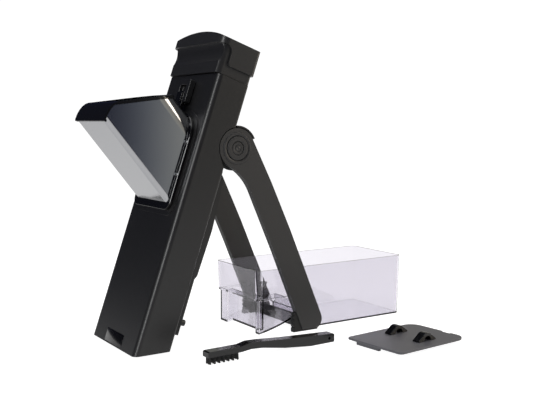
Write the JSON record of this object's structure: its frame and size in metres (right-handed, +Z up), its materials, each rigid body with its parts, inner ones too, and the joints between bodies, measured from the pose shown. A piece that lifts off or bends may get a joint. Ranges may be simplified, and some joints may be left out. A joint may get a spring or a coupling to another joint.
{
  "type": "upright mandoline slicer",
  "caption": "Leaning kitchen slicer with a plunging handle, inclined steel food chute, folding rear stand, clear catch bin, pusher plate and cleaning brush.",
  "frame": {"origin": "centre of the tower's footprint on the surface that it stands on", "axes": "+X to the right seen from the front, +Y from the chute towards the folding stand, +Z up"},
  "size_m": [0.3074, 0.4556, 0.3963],
  "materials": {
    "abs_black": "moulded ABS, satin",
    "abs_panel": "moulded ABS, fine grained",
    "gloss_black": "polished ABS",
    "pa_grey": "glass filled nylon",
    "rubber_black": "soft rubber",
    "steel_sheet": "formed stainless sheet",
    "steel_blade": "ground stainless blade",
    "steel_rod": "drawn steel",
    "spring_wire": "zinc plated spring wire",
    "red_button": "moulded ABS",
    "clear_styrene": "clear moulded styrene",
    "plate_grey": "moulded polypropylene",
    "bristle_black": "nylon bristles"
  },
  "bodies": {
    "tower": {"front_housing": "abs_black", "rear_cover": "abs_panel", "hub_cups": "abs_black", "base_plate": "abs_panel", "tower_feet": "rubber_black", "front_badge": "gloss_black", "latch_housing": "abs_black", "slice_ramp": "pa_grey", "guide_rods": "steel_rod", "lower_rod_block": "pa_grey", "upper_rod_brackets": "pa_grey", "housing_screws": "steel_rod", "pivot_pins": "steel_rod", "pivot_clips": "steel_rod", "return_springs": "spring_wire"},
    "handle": {"slide_column": "pa_grey", "handle_grip": "abs_panel", "handle_cover": "abs_black", "handle_screws": "steel_rod", "slicing_blade": "steel_blade", "blade_screws": "steel_rod"},
    "thickness_gate": {"thickness_plate": "abs_panel"},
    "thickness_knob": {"thickness_dial": "abs_panel", "thickness_screw": "steel_rod"},
    "strip_comb": {"strip_carrier": "pa_grey", "strip_blade_set": "steel_blade"},
    "selector_knob": {"selector_dial": "abs_panel", "selector_shaft": "steel_rod"},
    "lock": {"handle_lock": "red_button"},
    "chute": {"chute_shell": "steel_sheet", "chute_rim": "abs_black", "chute_frame": "gloss_black", "chute_rivets": "steel_rod"},
    "latch": {"chute_latch": "gloss_black"},
    "stand": {"left_leg": "abs_black", "right_leg": "abs_black", "crossbar": "abs_panel", "foot_pads": "rubber_black", "hub_covers": "abs_black", "button_springs": "spring_wire"},
    "left_release": {"left_button": "abs_panel"},
    "right_release": {"right_button": "abs_panel"},
    "bin": {"catch_bin": "clear_styrene"},
    "pusher": {"pusher_plate": "plate_grey", "finger_loops": "gloss_black", "plate_feet": "rubber_black"},
    "brush": {"brush_handle": "abs_panel", "brush_bristles": "bristle_black"}
  },
  "joints": [
    {"name": "handle_stroke", "type": "slide", "parent": "tower", "child": "handle", "axis": [0, 0.3289, 0.9444], "range_m": [0, 0.112], "deforming": ["return_springs"]},
    {"name": "thickness_dial_turn", "type": "hinge", "parent": "tower", "child": "thickness_knob", "pos_m": [0, 0.10532, 0.18992], "axis": [0, 0.9444, -0.3289], "range_deg": [0, 300]},
    {"name": "thickness_plate_travel", "type": "slide", "parent": "tower", "child": "thickness_gate", "axis": [0, 0.9444, -0.3289], "range_m": [0, 0.008]},
    {"name": "selector_turn", "type": "hinge", "parent": "tower", "child": "selector_knob", "pos_m": [0, 0.09019, 0.14648], "axis": [0, 0.9444, -0.3289], "range_deg": [0, 90]},
    {"name": "strip_blade_travel", "type": "slide", "parent": "tower", "child": "strip_comb", "axis": [0, -0.9444, 0.3289], "range_m": [0, 0.004]},
    {"name": "handle_lock_slide", "type": "slide", "parent": "tower", "child": "lock", "axis": [1, 0, 0], "range_m": [0, 0.008]},
    {"name": "chute_pull", "type": "slide", "parent": "tower", "child": "chute", "axis": [0, -0.9444, 0.3289], "range_m": [0, 0.15]},
    {"name": "chute_latch_slide", "type": "slide", "parent": "tower", "child": "latch", "axis": [0, 0.3289, 0.9444], "range_m": [0, 0.005]},
    {"name": "stand_fold", "type": "hinge", "parent": "tower", "child": "stand", "pos_m": [0, 0.1207, 0.2481], "axis": [-1, 0, 0], "range_deg": [0, 34]},
    {"name": "left_button_press", "type": "slide", "parent": "stand", "child": "left_release", "axis": [1, 0, 0], "range_m": [0, 0.0025], "stiffness_N_per_m": 400},
    {"name": "right_button_press", "type": "slide", "parent": "stand", "child": "right_release", "axis": [-1, 0, 0], "range_m": [0, 0.0025], "stiffness_N_per_m": 400, "deforming": ["button_springs"]},
    {"name": "bin_lift", "type": "slide", "parent": "tower", "child": "bin", "axis": [0, 0, 1], "range_m": [0, 0.25]},
    {"name": "pusher_lift", "type": "slide", "parent": "tower", "child": "pusher", "axis": [0, 0, 1], "range_m": [0, 0.2]},
    {"name": "brush_lift", "type": "slide", "parent": "tower", "child": "brush", "axis": [0, 0, 1], "range_m": [0, 0.2]}
  ],
  "couplings": [
    {"joint": "thickness_plate_travel", "follows": "thickness_dial_turn", "m_per_rad": 0.0015278},
    {"joint": "strip_blade_travel", "follows": "selector_turn", "m_per_rad": 0.0025464}
  ]
}
